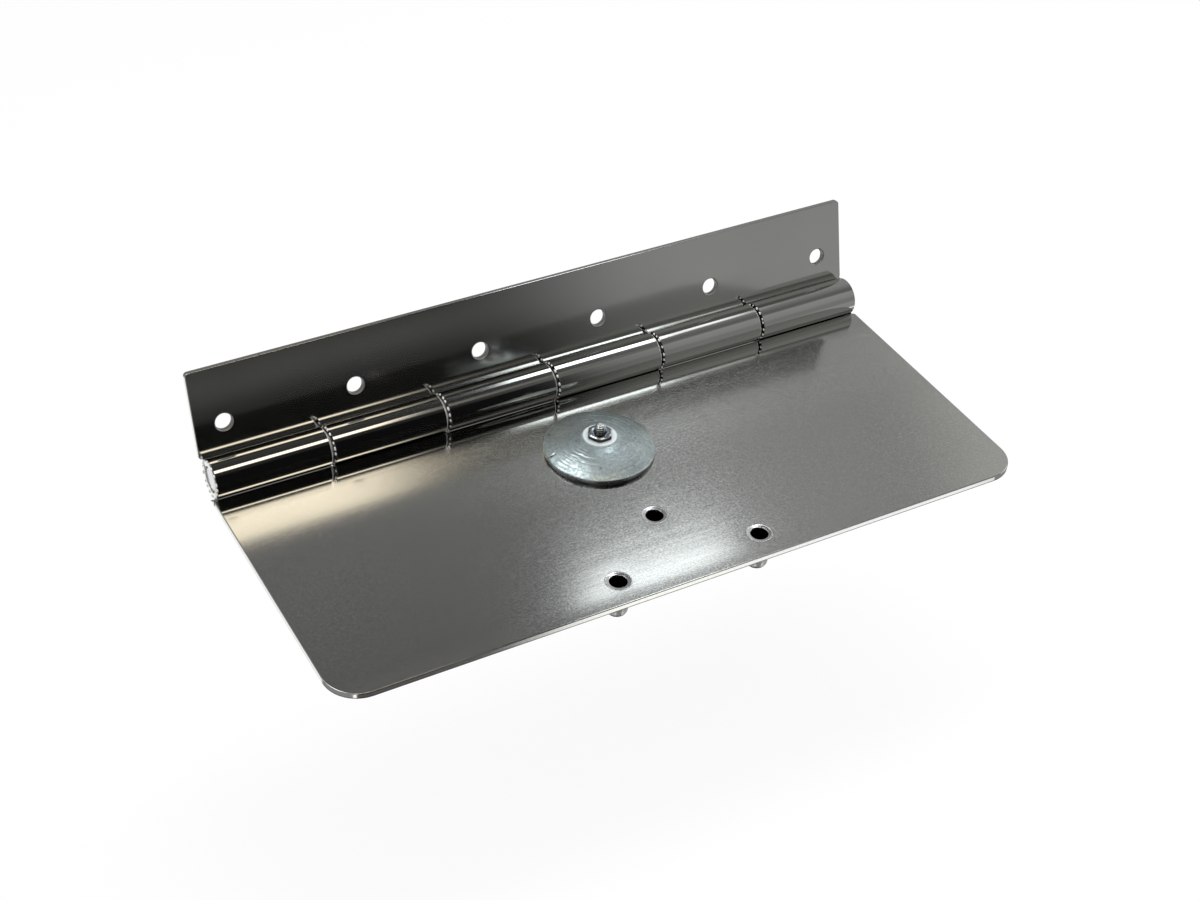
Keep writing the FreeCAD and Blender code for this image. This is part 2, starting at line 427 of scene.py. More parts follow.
# %% World and lamp
plain_level = 0.85
world = bpy.data.worlds.new("white_surround")
bpy.context.scene.world = world
world.use_nodes = True
world.node_tree.nodes.clear()
t = Tree(world.node_tree)
path = t.add("ShaderNodeLightPath").outputs
direct = t.math("MAXIMUM", path["Is Camera Ray"], path["Is Glossy Ray"])
seen = t.math("MAXIMUM", direct, path["Is Transmission Ray"])
strength = t.ease(seen, 0.0, 1.0, plain_level, 1.0)
background = t.shader("ShaderNodeBackground", {"Color": white, "Strength": strength})
t.feed(t.add("ShaderNodeOutputWorld"), "Surface", background)


def area_lamp(name, place, size, power):
    """A wide soft lamp aimed at the middle of the hinge, left out of reflections."""
    light = bpy.data.lights.new(name, "AREA")
    light.shape = "RECTANGLE"
    light.size, light.size_y = size
    light.energy = power
    lamp = bpy.data.objects.new(name, light)
    lamp.location = place
    lamp.rotation_euler = (hinge - Vector(place)).to_track_quat("-Z", "Y").to_euler()
    lamp.visible_glossy = False
    bpy.context.scene.collection.objects.link(lamp)
    return lamp


overhead = area_lamp("overhead_lamp", (0.45, 0.1, 1.1), (0.5, 1.0), 9.0)
print("lamp power", overhead.data.energy, "W")

# %% [markdown]
# ## The floor
#
# The part is held by its transom leaf, as on a boat, and the floor lies below the tab's whole swing,
# so the tab can hang straight down without touching it. It glows white to the camera and keeps a
# little of the part's shadow. A plain white board would turn grey under this lamp. Seen from below
# the floor is clear and lets the view through.

# %% Floor
floor_half = 2.0
floor_glow = 0.9
floor_tint = (0.9, 0.9, 0.9)
floor_margin = 5 * MM


def swing_radius():
    """Greatest distance of any point of the solids from the hinge line."""
    return max(math.hypot(vertex.co.y - hinge.y, vertex.co.z - hinge.z)
               for node in nodes.values() for vertex in node.data.vertices)


def build_floor_material():
    """White to the camera with the part's shadow kept in it, and see-through from below."""
    material, t = new_material("white_floor")
    paper = t.shader("ShaderNodeBsdfDiffuse", {"Color": floor_tint})
    glow = t.shader("ShaderNodeEmission", {"Color": white})
    clear = t.shader("ShaderNodeBsdfTransparent", {})
    to_camera = t.add("ShaderNodeLightPath").outputs["Is Camera Ray"]
    share = t.math("MULTIPLY", to_camera, floor_glow)
    lit = t.shader("ShaderNodeMixShader", {0: share, 1: paper, 2: glow})
    from_below = t.add("ShaderNodeNewGeometry").outputs["Backfacing"]
    t.surface(t.shader("ShaderNodeMixShader", {0: from_below, 1: lit, 2: clear}))
    return material


floor_drop = swing_radius() + floor_margin
floor_corners = [(floor_half * x, floor_half * y, 0) for x, y in ((-1, -1), (1, -1), (1, 1), (-1, 1))]
floor = stage_object("floor", mesh_from("floor", floor_corners, [(0, 1, 2, 3)]), build_floor_material())
floor.location = (0.0, 0.0, hinge.z - floor_drop)
floor.visible_glossy = False
print(f"floor {floor_drop / MM:.0f} mm below the hinge line")

# %% [markdown]
# ## What steel and zinc share
#
# Both metals carry a fine grain, and both have been handled. Each effect is a shader node group with
# named inputs, so that every material sets its own strength. Positions come from the object, in
# metres, so the marks keep their real size on every piece.

# %% Fine grain and handling marks


def noise_at(t, place, per_metre, detail=2.0, stretch=(1.0, 1.0, 1.0)):
    """Noise over the object's own coordinates, with this many blobs to the metre."""
    node = t.add("ShaderNodeTexNoise")
    t.feed_all(node, {"Vector": t.vector("MULTIPLY", place, stretch), "Scale": per_metre, "Detail": detail})
    return node.outputs["Fac"]


def build_grain_group():
    """Height, in micrometres, of an even grain, of rolling marks along the hinge and of slow waves."""
    group, t, given, out = group_with(
        "metal_grain",
        {"Grain": 1.0, "Grain Per Metre": 2200.0, "Rolling Marks": 1.0, "Waves": 1.0,
         "Waves Per Metre": 34.0},
        ["Height"])
    place = t.place()
    grain = noise_at(t, place, given["Grain Per Metre"], 2.0)
    rolling = noise_at(t, place, 260.0, 2.0, (0.04, 1.0, 1.0))
    waves = noise_at(t, place, given["Waves Per Metre"], 1.0, (0.22, 1.0, 1.0))
    height = t.math("MULTIPLY", grain, given["Grain"])
    height = t.math("MULTIPLY_ADD", rolling, given["Rolling Marks"], height)
    t.feed(out, "Height", t.math("MULTIPLY_ADD", waves, given["Waves"], height))
    return group


def build_handling_group():
    """Mask of wiped smears and of small specks, from 0 to 1."""
    group, t, given, out = group_with("handling_marks", {"Smears": 0.5, "Specks": 0.3}, ["Mask"])
    place = t.place()
    smears = t.ease(noise_at(t, place, 14.0, 4.0), 0.42, 0.72)
    specks = t.ease(noise_at(t, place, 420.0, 1.0), 0.70, 0.78)
    total = t.math("MULTIPLY_ADD", specks, given["Specks"], t.math("MULTIPLY", smears, given["Smears"]))
    t.feed(out, "Mask", t.math("MINIMUM", total, 1.0))
    return group


metal_grain = build_grain_group()
handling_marks = build_handling_group()
print("node groups", metal_grain.name, handling_marks.name)

# %% [markdown]
# ## Measuring from the hinge
#
# Most marks on this part lie where they do because of the hinge: how far a buffing wheel reaches, where
# dirt stays, how high above the tab a nut sits. A few helpers turn a position into such a distance, in
# millimetres, so the groups below can be read in the units of a workshop.

# %% Distances as node helpers


def offset_from(t, point):
    """Vector from a fixed point of the part to the shaded point, in metres."""
    return t.vector("SUBTRACT", t.place(), tuple(point))


def across_hinge(t, offset):
    """Length of an offset square to the hinge line, in millimetres."""
    return t.vector("LENGTH", t.vector("MULTIPLY", offset, (0.0, 1 / MM, 1 / MM)))


def along_direction(t, offset, direction):
    """How far an offset goes in a direction, in millimetres."""
    return t.vector("DOT_PRODUCT", offset, tuple(direction / MM))


def nearest_in_row(t, along, spacing):
    """Signed distance to the nearest point of a row with this spacing, one of them at zero."""
    number = t.math("ROUND", t.math("DIVIDE", along, spacing))
    return t.math("SUBTRACT", along, t.math("MULTIPLY", number, spacing))


def build_height_group():
    """Height above the tab's top face, in millimetres, for finishes that change with height."""
    group, t, given, out = group_with("height_over_tab", {"Offset": 0.0}, ["Height"])
    rise = along_direction(t, offset_from(t, on_tab(0.0, 0.0)), tab_up)
    t.feed(out, "Height", t.math("ADD", rise, given["Offset"]))
    return group


height_over_tab = build_height_group()
print("node group", height_over_tab.name)

# %% [markdown]
# ## Bright steel
#
# The leaves are stainless sheet, electropolished after forming. The finish is close to a mirror, but
# it keeps the sheet's fine grain, which breaks the lamp's reflection on the tab into a speckled
# shine. A buffing wheel can't reach into the corner beside the barrel, so the strip there is duller
# than the barrel itself or the open part of the tab. One node group holds that difference.

# %% Buffing


def build_buffing_group():
    """Roughness by distance from the hinge line: the barrel, the corner beside it and the open sheet."""
    group, t, given, out = group_with(
        "buffing_reach",
        {"Barrel": 0.06, "Corner": 0.16, "Open": 0.10, "Corner From": 18.0, "Corner To": 32.0,
         "Open From": 42.0, "Open To": 72.0},
        ["Roughness"])
    distance = across_hinge(t, offset_from(t, hinge))
    corner = t.ease(distance, given["Corner From"], given["Corner To"], given["Barrel"], given["Corner"])
    open_share = t.ease(distance, given["Open From"], given["Open To"])
    change = t.math("SUBTRACT", given["Open"], given["Corner"])
    t.feed(out, "Roughness", t.math("MULTIPLY_ADD", change, open_share, corner))
    return group


buffing_reach = build_buffing_group()
print("node group", buffing_reach.name)

# %% [markdown]
# ## Painted shade in the hinge
#
# The joints between the knuckles, the crease along the tab, the barrel's cut ends and the rounding of
# the tab's lower edge are painted nearly black. This is painted shade, where deep gaps and overhangs
# would fall in shadow. The starboard rim of each knuckle is painted pale and rough, a painted highlight.
# Such marks could be painted by hand, but all of these follow from the position on the hinge, so
# masks made from it stay right at any size. Each mark has a short function, and one group gives both
# masks.

# %% Painted hinge shade
joint_shift = 0.20 * MM


def joint_shade_and_rim_highlight(t, given, x):
    """Painted shade in the joints between knuckles, and the painted highlight on the rim that ends at each joint's
    port wall.
    """
    # Distance to the nearest joint, from its port wall over its gap to the next knuckle's chamfer
    nearest = nearest_in_row(t, t.math("SUBTRACT", x, joint_shift), knuckle_pitch)
    from_joint = t.math("DIVIDE", t.math("ABSOLUTE", nearest), MM)
    dark, clear = (t.math("ADD", given["Joint Width"], more) for more in (0.02, 0.22))
    past_wall = t.math("DIVIDE", t.math("ADD", nearest, knuckle_gap / 2 + joint_shift), MM)
    rim_start = t.math("MULTIPLY", given["Rim Width"], -1.0)
    on_rim = t.ease(past_wall, t.math("SUBTRACT", rim_start, 0.12), rim_start)
    rim = t.math("MULTIPLY", on_rim, t.fade(past_wall, 0.02, 0.10))
    return t.fade(from_joint, dark, clear), rim


def crease_shade(t, width):
    """Painted shade in the crease where the tab's top face meets the barrel."""
    along = math.sqrt(barrel_radius ** 2 - eye_radius ** 2)
    from_crease = across_hinge(t, offset_from(t, on_tab(0.0, along)))
    return t.fade(from_crease, t.math("MULTIPLY", width, 0.5), width)


def end_face_shade(t, from_middle, offset):
    """Painted shade on the barrel's two end faces, darker on the side towards the tab."""
    end_place = half_span - barrel_recess
    end_face = t.ease(from_middle, end_place - 0.45 * MM, end_place - 0.35 * MM)
    # Painted shade, darker on the side of the end face towards the tab
    aft_shade = t.ease(t.split(offset)["Y"], -8.0 * MM, -1.5 * MM, 0.9, 0.06)
    return t.math("MULTIPLY", end_face, aft_shade)


def lower_edge_shadow(t, from_hinge, amount):
    """A painted shadow on the rounding of the tab's lower edge all round, away from the barrel."""
    height = t.use(height_over_tab)["Height"]
    lower_face = -sheet / MM
    above_face = t.ease(height, lower_face + 0.005, lower_face + 0.03)
    rounding = t.math("MULTIPLY", t.fade(height, lower_face + 0.51, lower_face + 0.71), above_face)
    off_barrel = t.ease(from_hinge, 2 * barrel_radius / MM, 2.2 * barrel_radius / MM)
    return t.math("MULTIPLY", t.math("MULTIPLY", rounding, off_barrel), amount)


def build_painted_shade_group():
    """Masks of painted shade in and round the hinge, and of a painted highlight on the knuckles' rims."""
    group, t, given, out = group_with(
        "hinge_grime",
        {"Joint Width": 0.6, "Crease Width": 0.8, "Lower Edge": 0.0, "Rim Width": 0.5},
        ["Mask", "Rim"])
    offset = offset_from(t, hinge)
    from_hinge = across_hinge(t, offset)
    x = t.split(t.place())["X"]
    from_middle = t.math("ABSOLUTE", x)
    on_barrel = t.fade(from_hinge, barrel_radius / MM + 0.05, barrel_radius / MM + 0.3)
    inside = t.fade(from_middle, half_span - 6 * MM, half_span - 5 * MM)
    on_knuckles = t.math("MULTIPLY", on_barrel, inside)
    in_joint, rim = joint_shade_and_rim_highlight(t, given, x)
    t.feed(out, "Rim", t.math("MULTIPLY", rim, on_knuckles))
    joints = t.math("MULTIPLY", in_joint, on_knuckles)
    ends = t.math("MULTIPLY", end_face_shade(t, from_middle, offset), on_barrel)
    edge = lower_edge_shadow(t, from_hinge, given["Lower Edge"])
    gap_shade = t.math("MAXIMUM", joints, crease_shade(t, given["Crease Width"]))
    t.feed(out, "Mask", t.math("MAXIMUM", gap_shade, t.math("MAXIMUM", ends, edge)))
    return group


hinge_grime = build_painted_shade_group()
print("node group", hinge_grime.name)

# %% [markdown]
# ## A sheet that isn't quite flat
#
# Real sheet is never a true plane. The tab starts to curl up before it reaches its barrel, the shear
# lifted its trailing edge by a hair, and each insert drew the sheet in a little as it was pulled.
# These are far too shallow to see as shape, but a mirror finish shows them as bent reflections, so
# they go into the bump in micrometres. Rolling also left fine bright and dark specks.

# %% Curl, specks and dimples
# The curl's bend grows over this many millimetres, and then the sheet runs on straight
roll_in = 3.6


def build_curl_group():
    """Height, in micrometres, of the tab's sheet where it curls up to its barrel and at its lip."""
    group, t, given, out = group_with(
        "sheet_curl", {"Reach": 20.0, "Bend": 0.0173, "Lip From": 120.5, "Lip": 1.2}, ["Height"])
    distance = across_hinge(t, offset_from(t, hinge))
    left = t.math("MAXIMUM", t.math("SUBTRACT", given["Reach"], distance), 0.0)
    straight = t.math("MAXIMUM", t.math("SUBTRACT", left, roll_in), 0.0)
    squares = t.math("SUBTRACT", t.math("MULTIPLY", left, left), t.math("MULTIPLY", straight, straight))
    # Half the bend times the square of the distance, from millimetres to micrometres
    curl = t.math("MULTIPLY", squares, t.math("MULTIPLY", given["Bend"], 1000.0 / 2))
    # The shear lifted the last few millimetres before the trailing edge a little
    past = t.math("MAXIMUM", t.math("SUBTRACT", distance, given["Lip From"]), 0.0)
    t.feed(out, "Height", t.math("MULTIPLY_ADD", t.math("MULTIPLY", past, past), given["Lip"], curl))
    return group


def build_speckle_group():
    """Fine bright and dark specks of a rolled sheet, as a factor round one."""
    group, t, given, out = group_with("sheet_speckle", {"Amount": 0.3, "Per Metre": 1450.0}, ["Factor"])
    specks = noise_at(t, t.place(), given["Per Metre"], 2.5, (0.8, 1.0, 1.0))
    spread = t.ease(specks, 0.15, 0.85, -1.0, 1.0)
    t.feed(out, "Factor", t.math("MULTIPLY_ADD", spread, given["Amount"], 1.0))
    return group


def build_dimple_group():
    """Height, in micrometres, of the sheet drawn in round each of the three inserts."""
    group, t, given, out = group_with("insert_dimples", {"Depth": 60.0, "Radius": 6.5}, ["Height"])
    place = t.place()
    total = 0.0
    for middle in insert_places.values():
        away = t.vector("DISTANCE", place, tuple(middle))
        far = t.math("DIVIDE", t.math("DIVIDE", away, MM), given["Radius"])
        bell = t.math("POWER", math.e, t.math("MULTIPLY", t.math("MULTIPLY", far, far), -1.0))
        total = t.math("ADD", bell, total)
    t.feed(out, "Height", t.math("MULTIPLY", total, t.math("MULTIPLY", given["Depth"], -1.0)))
    return group


sheet_curl = build_curl_group()
sheet_speckle = build_speckle_group()
insert_dimples = build_dimple_group()
print("node groups", sheet_curl.name, sheet_speckle.name, insert_dimples.name)

# %% [markdown]
# ## Drilled walls
#
# The screw holes were drilled after the sheet was polished, so their walls are dull. They are also
# painted a darker grey, a painted shade inside the holes. Without both they would throw small glints
# of the room's lamps. The walls could get a material of their own, face by face, but a mask by the
# distance from the hole's axis finds them at once.

# %% Screw holes


def build_hole_group():
    """Mask of the drilled walls of the screw holes, out to this reach in millimetres."""
    group, t, given, out = group_with("hole_walls", {"Reach": 3.98}, ["Mask"])
    axes = t.split(t.place())
    beside = nearest_in_row(t, t.math("SUBTRACT", axes["X"], hole_pitch / 2), hole_pitch)
    squares = t.math("ADD", t.math("MULTIPLY", beside, beside), t.math("MULTIPLY", axes["Z"], axes["Z"]))
    away = t.math("DIVIDE", t.math("SQRT", squares), MM)
    edge = t.math("ADD", given["Reach"], 0.06)
    t.feed(out, "Mask", t.fade(away, given["Reach"], edge))
    return group


hole_walls = build_hole_group()
print("node group", hole_walls.name)

# %% [markdown]
# ## The leaves' finish
#
# Both leaves are the same steel with other numbers. The tab is the larger and more worn sheet: its
# reflections are stretched a little across the rolling direction, which the anisotropy of the
# Principled shader gives, and it alone has the curl, the dimples and the specks. A photograph of
# brushed steel would be quicker, but it would carry its own lamps and wouldn't follow the hinge.

# %% Leaf steel
sheet_tint = (0.60, 0.602, 0.578)
wiped_tint = tuple(0.93 * share for share in sheet_tint)
# Darker grey: painted shade on the drilled walls of the screw holes
drilled_wall_shade = (0.42, 0.42, 0.41)
# Pale steel: a painted highlight on each knuckle's starboard rim
rim_highlight_tint = (0.92, 0.92, 0.90)
# Nearly black: painted shade in the hinge's joints and crease, on the barrel's ends and the tab's lower edge
painted_shade_tint = (0.018, 0.018, 0.016)
matt_roughness = 0.5


def steel(name, grain, buffing, curl=0.0, lip=0.0, dimple=0.0, lower_edge=0.0, stretch=0.0, specks=0.0):
    """Polished sheet: grain and buffing by their groups' inputs, and what only one leaf may have."""
    material, t = new_material(name)
    marks = t.use(handling_marks, {"Smears": 0.6, "Specks": 0.25})["Mask"]
    height = t.math("ADD", t.use(metal_grain, grain)["Height"],
                    t.use(sheet_curl, {"Bend": curl, "Lip": lip})["Height"])
    height = t.math("ADD", height, t.use(insert_dimples, {"Depth": dimple})["Height"])
    buffed = t.use(buffing_reach, buffing)["Roughness"]
    # Painted shade in and round the hinge, and a painted highlight on the knuckles' rims
    grime = t.use(hinge_grime, {"Lower Edge": lower_edge})
    walls = t.use(hole_walls)["Mask"]
    # Specks show where the sheet is open and not on the buffed barrel
    on_open_sheet = t.ease(buffed, 0.07, 0.095)
    specked = t.mix(on_open_sheet, white, t.use(sheet_speckle, {"Amount": specks})["Factor"])
    clean = t.mix(marks, sheet_tint, wiped_tint)
    colour = t.mix(1.0, clean, t.mix(0.35, white, specked), "MULTIPLY")
    for mask, tint in ((walls, drilled_wall_shade), (grime["Rim"], rim_highlight_tint), (grime["Mask"], painted_shade_tint)):
        colour = t.mix(mask, colour, tint)
    rough = t.math("MULTIPLY", buffed, t.math("MULTIPLY_ADD", marks, 0.25, 1.0))
    rough = t.math("MULTIPLY", rough, specked)
    dull = t.math("MULTIPLY", t.math("MAXIMUM", grime["Rim"], walls), matt_roughness)
    looks = {"Base Color": colour, "Metallic": 1.0, "Normal": t.bump(height)}
    looks["Roughness"] = t.math("MAXIMUM", rough, dull)
    if stretch:
        looks["Tangent"] = t.add("ShaderNodeTangent", direction_type="RADIAL", axis="X").outputs[0]
        looks["Anisotropic"] = stretch
    t.surface(t.shader("ShaderNodeBsdfPrincipled", looks))
    return material


transom_steel = steel(
    "transom_steel",
    {"Grain": 1.5, "Rolling Marks": 1.0, "Waves": 14.0},
    {"Barrel": 0.06, "Corner": 0.11, "Open": 0.075, "Corner From": 9.0, "Corner To": 13.0,
     "Open From": 19.0, "Open To": 26.0})
tab_steel = steel(
    "tab_steel",
    {"Grain": 2.2, "Rolling Marks": 8.0, "Waves": 30.0},
    {"Barrel": 0.06, "Corner": 0.14, "Open": 0.098, "Corner From": 14.0, "Corner To": 24.0,
     "Open From": 42.0, "Open To": 72.0},
    curl=0.0173, lip=1.2, dimple=70.0, lower_edge=0.85, stretch=0.4, specks=0.28)
print("leaf steels", transom_steel.name, tab_steel.name)

# %% [markdown]
# ## The small parts' metal
#
# The pin, the nut, the screw and the inserts are bright steel too, but so small that each shows only
# one patch of the room, which changes from its foot to its tip. A tint by height above the tab paints
# that in. There is painted shade on the nut's sides, on the screw in the nut and down each insert's
# bore, and there are painted highlights on the nut's top edge, the screw's tip and the inserts' flanges.
# The washer and the pin's ends are matt, so they are mostly plain and scatter light. The pin's steel is
# also painted near white, a painted highlight on its ends.

# %% Fasteners' steel
ramp_span = 40.0
handled_tint = (0.05, 0.05, 0.05)
# Bluish pale: a painted highlight on the nut's top edge
nut_edge_highlight = (0.70, 0.78, 0.86)
head_face = (0.52, 0.53, 0.53)


def small_part(name, tints, roughness, metallic=1.0):
    """A fastener's metal; tints is one tint, or (millimetres above the tab's top face, tint) stops."""
    material, t = new_material(name)
    stops = tints if isinstance(tints, list) else [(-20.0, tints), (20.0, tints)]
    marks = t.use(handling_marks, {"Smears": 0.5, "Specks": 0.4})["Mask"]
    place = t.math("MULTIPLY_ADD", t.use(height_over_tab)["Height"], 1 / ramp_span, 0.5)
    clean = t.ramp(place, [(0.5 + height / ramp_span, tint) for height, tint in stops])
    colour = t.mix(t.math("MULTIPLY", marks, 0.2), clean, handled_tint)
    rough = t.math("MULTIPLY_ADD", marks, 0.1, roughness)
    looks = {"Base Color": colour, "Metallic": metallic, "Roughness": rough}
    t.surface(t.shader("ShaderNodeBsdfPrincipled", looks))
    return material


# Whiter, half matt steel: a painted highlight that keeps the beads bright
bead_glint_steel = small_part("bead_glint_steel", 0.97, 0.22, 0.4)
# Whiter, half matt steel: a painted highlight on the pin's ends
pin_steel = small_part("pin_steel", 0.88, 0.3, 0.35)
washer_steel = small_part("washer_steel", (0.70, 0.76, 0.76), 0.4, 0.1)
# The nut: painted shade on its sides, a painted highlight on its top edge and a darker top face
nut_shade_and_highlight_steel = small_part("nut_shade_and_highlight_steel", [(9.1, 0.04), (9.3, nut_edge_highlight), (9.5, nut_edge_highlight), (9.57, 0.13)], 0.2)
# The screw: painted shade in and just above the nut, brightening up the thread to a painted highlight at its tip
screw_shade_and_highlight_stops = [
    (-6.0, head_face), (0.0, head_face), (8.0, 0.05), (9.7, 0.05), (10.6, (0.19, 0.21, 0.23)),
    (11.4, (0.42, 0.46, 0.50)), (12.7, (0.66, 0.71, 0.75)), (13.0, (0.93, 0.97, 1.0))]
screw_shade_and_highlight_steel = small_part("screw_shade_and_highlight_steel", screw_shade_and_highlight_stops, 0.2, 0.9)
thread_shade = small_part("thread_shade", 0.07, 0.35)
# The inserts: painted shade down the bore, and a lighter flange and dish as a painted highlight
insert_steel = small_part("insert_steel", [(-1.4, 0.012), (-0.55, 0.84)], 0.22, 0.98)
insert_outside = small_part("insert_outside", 0.76, 0.3, 0.85)
print("small parts' steels made")

# %% [markdown]
# ## Cast zinc
#
# Zinc is poured into a mould and comes out blue-grey. It dulls within days to a patchy film, so the
# colour wanders between a bright and a dull grey, and its skin is rougher than steel's.
# A cold lap, where the metal met itself too cool to join, stays as a short dark crease at the rim.
# Two noises, one coarse and one fine, mix the film, which looks more alive than one noise alone.

# %% Zinc
anode_centre = (0.0, 43.5 * MM)
lap_turn = math.radians(176)


def build_lap_group():
    """Mask of the dark cold lap: a short line out from this radius in millimetres."""
    group, t, given, out = group_with("cold_lap", {"Inner Radius": 19.6, "Half Width": 0.16}, ["Mask"])
    away = offset_from(t, on_tab(*anode_centre))
    lap_frame = tab_frame.to_3x3() @ Matrix.Rotation(lap_turn, 3, "Z")
    outward = along_direction(t, away, lap_frame @ Vector((1.0, 0.0, 0.0)))
    sideways = along_direction(t, away, lap_frame @ Vector((0.0, 1.0, 0.0)))
    far_out = t.ease(outward, given["Inner Radius"], t.math("ADD", given["Inner Radius"], 1.0))
    wide = t.math("MULTIPLY", given["Half Width"], 2.0)
    thin = t.fade(t.math("ABSOLUTE", sideways), given["Half Width"], wide)
    t.feed(out, "Mask", t.math("MULTIPLY", far_out, thin))
    return group


cold_lap = build_lap_group()
zinc_dull = (0.42, 0.49, 0.51)
zinc_bright = (0.66, 0.75, 0.76)
zinc_handled = (0.22, 0.26, 0.28)
lap_tint = (0.03, 0.04, 0.04)
# The rim's side: painted shade at its foot and painted light towards its top
rim_foot_shade = (0.11, 0.12, 0.12)
rim_upper_light = (0.46, 0.47, 0.47)


def build_zinc():
    """A cloudy grey film on a rough casting. The rim's side is a little less rough, with painted light above and
    painted shade at its foot.
    """
    material, t = new_material("cast_zinc")
    place = t.place()
    clouds = t.ease(noise_at(t, place, 130.0, 3.0), 0.38, 0.62)
    mottle = t.ease(noise_at(t, place, 900.0, 4.0), 0.38, 0.64)
    patches = t.math("MULTIPLY_ADD", clouds, 0.40, t.math("MULTIPLY", mottle, 0.60))
    colour = t.mix(patches, zinc_dull, zinc_bright)
    marks = t.use(handling_marks, {"Smears": 0.3, "Specks": 0.8})["Mask"]
    colour = t.mix(marks, colour, zinc_handled)
    colour = t.mix(t.use(cold_lap)["Mask"], colour, lap_tint)
    # The rim's side: painted light towards its top and painted shade at its foot, a little less rough
    height = t.use(height_over_tab)["Height"]
    side = t.fade(height, 1.95, 2.2)
    rim_side_light_and_shade = t.mix(t.ease(height, 0.7, 1.5), rim_foot_shade, rim_upper_light)
    gloss = t.ease(patches, 0.0, 1.0, 0.46, 0.30)
    texture = t.use(metal_grain, {"Grain": 55.0, "Grain Per Metre": 1000.0, "Rolling Marks": 0.0,
                                  "Waves": 120.0, "Waves Per Metre": 210.0})["Height"]
    rough = t.math("SUBTRACT", gloss, t.math("MULTIPLY", side, 0.16))
    looks = {"Base Color": t.mix(side, colour, rim_side_light_and_shade), "Metallic": 0.95, "Roughness": rough}
    looks["Normal"] = t.bump(texture)
    t.surface(t.shader("ShaderNodeBsdfPrincipled", looks))
    return material


cast_zinc = build_zinc()
print("zinc made")

# %% [markdown]
# ## Turned shapes
#
# The anode, the screw and the inserts are round, and Blender can give them finer forms than the CAD
# solids hold. One function sweeps a profile round an axis. A profile is a list of radius and height
# pairs, and a function of its own moves each point of a shape, which is how a thread is cut.

# %% Turned meshes
weld_distance = 0.001 * MM
on_axis = 0.0001 * MM


def new_piece(name, vertices, faces, material, rounded=True):
    """An object of these points; a rounded one is welded where points meet, and shaded smooth."""
    mesh = mesh_from(name, vertices, faces)
    shape = bmesh.new()
    shape.from_mesh(mesh)
    if rounded:
        bmesh.ops.remove_doubles(shape, verts=shape.verts, dist=weld_distance)
    bmesh.ops.recalc_face_normals(shape, faces=shape.faces)
    shape.to_mesh(mesh)
    shape.free()
    for face in mesh.polygons:
        face.use_smooth = rounded
    mesh.materials.append(material)
    piece = bpy.data.objects.new(name, mesh)
    bpy.context.scene.collection.objects.link(piece)
    return piece


def turned(name, profile, steps, material, change):
    """A piece swept round Z from (radius, height) points; change(radius, height, turn) moves each."""
    vertices = []
    for radius, height in profile:
        for i in range(steps):
            turn = 2 * math.pi * i / steps
            r, h = change(radius, height, turn)
            vertices.append((r * math.cos(turn), r * math.sin(turn), h))
    return new_piece(name, vertices, ring_faces(len(profile), steps), material)


def arc(centre, radius, start, end, steps):
    """Points of a round corner in a profile, angles in degrees from outward, counted upward."""
    angles = [math.radians(start + (end - start) * i / steps) for i in range(steps + 1)]
    return [(centre[0] + radius * math.cos(a), centre[1] + radius * math.sin(a)) for a in angles]


def run(start, end, steps):
    """Evenly spaced points of a straight stretch, without its first point."""
    return [(start[0] + (end[0] - start[0]) * i / steps, start[1] + (end[1] - start[1]) * i / steps)
            for i in range(1, steps + 1)]


def share_between(value, start, end):
    """How far a value has come from start to end, from 0 to 1."""
    return min(1.0, max(0.0, (value - start) / (end - start)))


def to_tab(piece, x, along):
    """Sets a piece made about Z on the tab's top face; its mesh keeps the frame's own coordinates."""
    piece.data.transform(tab_frame @ Matrix.Translation((x, -along, 0.0)))


def finish_piece(piece, body, slot, *replaced):
    """Says which body a piece rides on and the solids that it stands for; slot is not used."""
    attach(piece, body)
    if replaced:
        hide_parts(*replaced)
    print(f"{piece.name}: {len(piece.data.vertices)} points")
    return piece


print("helpers for turned pieces ready")

# %% [markdown]
# ## The anode
#
# A sacrificial anode is a lens of zinc, cast in an open mould and bolted through its middle. Its face
# is never quite true: faint rings follow the mould's turning marks, the skin sags a little as it
# cools, and the cold lap is a real crease. All this could be a bump in the material. Moving the
# points is better here, because the dome is seen at a low angle and real relief has an outline.

# %% Anode
anode_radius = 23.0 * MM
anode_rim = 2.4 * MM
anode_top = 6.9 * MM
rim_round = 0.35 * MM
foot_round = 0.4 * MM
land_radius = 8.0 * MM
anode_bore = 2.7 * MM
bore_flare = 0.5 * MM
dome_crown = 0.045
dome_edge = anode_radius - rim_round
dome_steps = 110
ring_radii = (11.2 * MM, 13.6 * MM, 16.4 * MM, 19.6 * MM)
ring_depth = 0.14 * MM
ring_width = 0.30 * MM
flow_depth = 0.22 * MM
lap_depth = 0.40 * MM
lap_width = 0.24 * MM


def dome_height(radius):
    """Height of the dome above the tab's face: the CAD dome's chord with its crown."""
    chord = dome_edge - land_radius
    share = (radius - land_radius) / chord
    bow = 4 * dome_crown * math.hypot(chord, anode_top - anode_rim) * share * (1 - share)
    return anode_top + (anode_rim - anode_top) * share + bow


